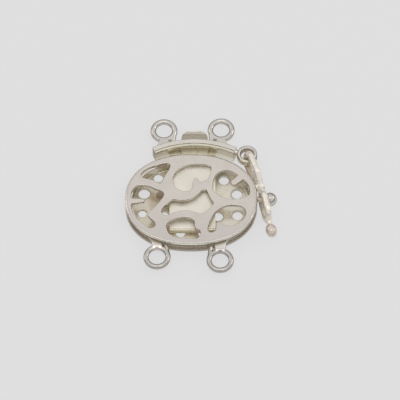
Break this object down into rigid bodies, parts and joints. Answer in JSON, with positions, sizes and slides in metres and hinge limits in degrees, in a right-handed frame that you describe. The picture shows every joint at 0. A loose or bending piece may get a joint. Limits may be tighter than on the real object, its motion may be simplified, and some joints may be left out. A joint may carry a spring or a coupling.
{
  "type": "box clasp",
  "caption": "Oval box clasp in pierced silver, with strand loops at both ends, a sprung tongue with a thumb tab, and a figure-eight safety catch that swings off a ball peg.",
  "frame": {"origin": "middle of the box's back face", "axes": "+X to the safety catch's side, +Y along the strands towards the thumb tab, +Z out of the pierced front"},
  "size_m": [0.0206, 0.0243, 0.0036],
  "materials": {
    "silver_box": "worn polished silver, satin on the pierced front",
    "silver_tongue": "worn polished silver",
    "silver_leaf": "satin sheet silver, slightly warm",
    "silver_catch": "polished silver wire"
  },
  "bodies": {
    "box": {"box": "silver_box"},
    "tongue": {"tongue": "silver_tongue"},
    "spring_leaf": {"spring_leaf": "silver_leaf"},
    "safety_catch": {"safety_catch": "silver_catch"}
  },
  "joints": [
    {"name": "tongue_slide", "type": "slide", "parent": "box", "child": "tongue", "axis": [0, 1, 0], "range_m": [0, 0.0116]},
    {"name": "safety_swing", "type": "hinge", "parent": "tongue", "child": "safety_catch", "pos_m": [0.00768, 0.00708, 0.0018], "axis": [0, 0, 1], "range_deg": [0, 170]},
    {"name": "leaf_press", "type": "hinge", "parent": "tongue", "child": "spring_leaf", "pos_m": [0.00015, -0.0042, 0.00094], "axis": [-1, 0, 0], "range_deg": [0, 1.3], "stiffness_Nm_per_rad": 0.3, "springref_deg": -1.72}
  ],
  "couplings": [
    {"joint": "safety_swing", "follows": "tongue_slide", "rad_per_m": 255.7}
  ]
}
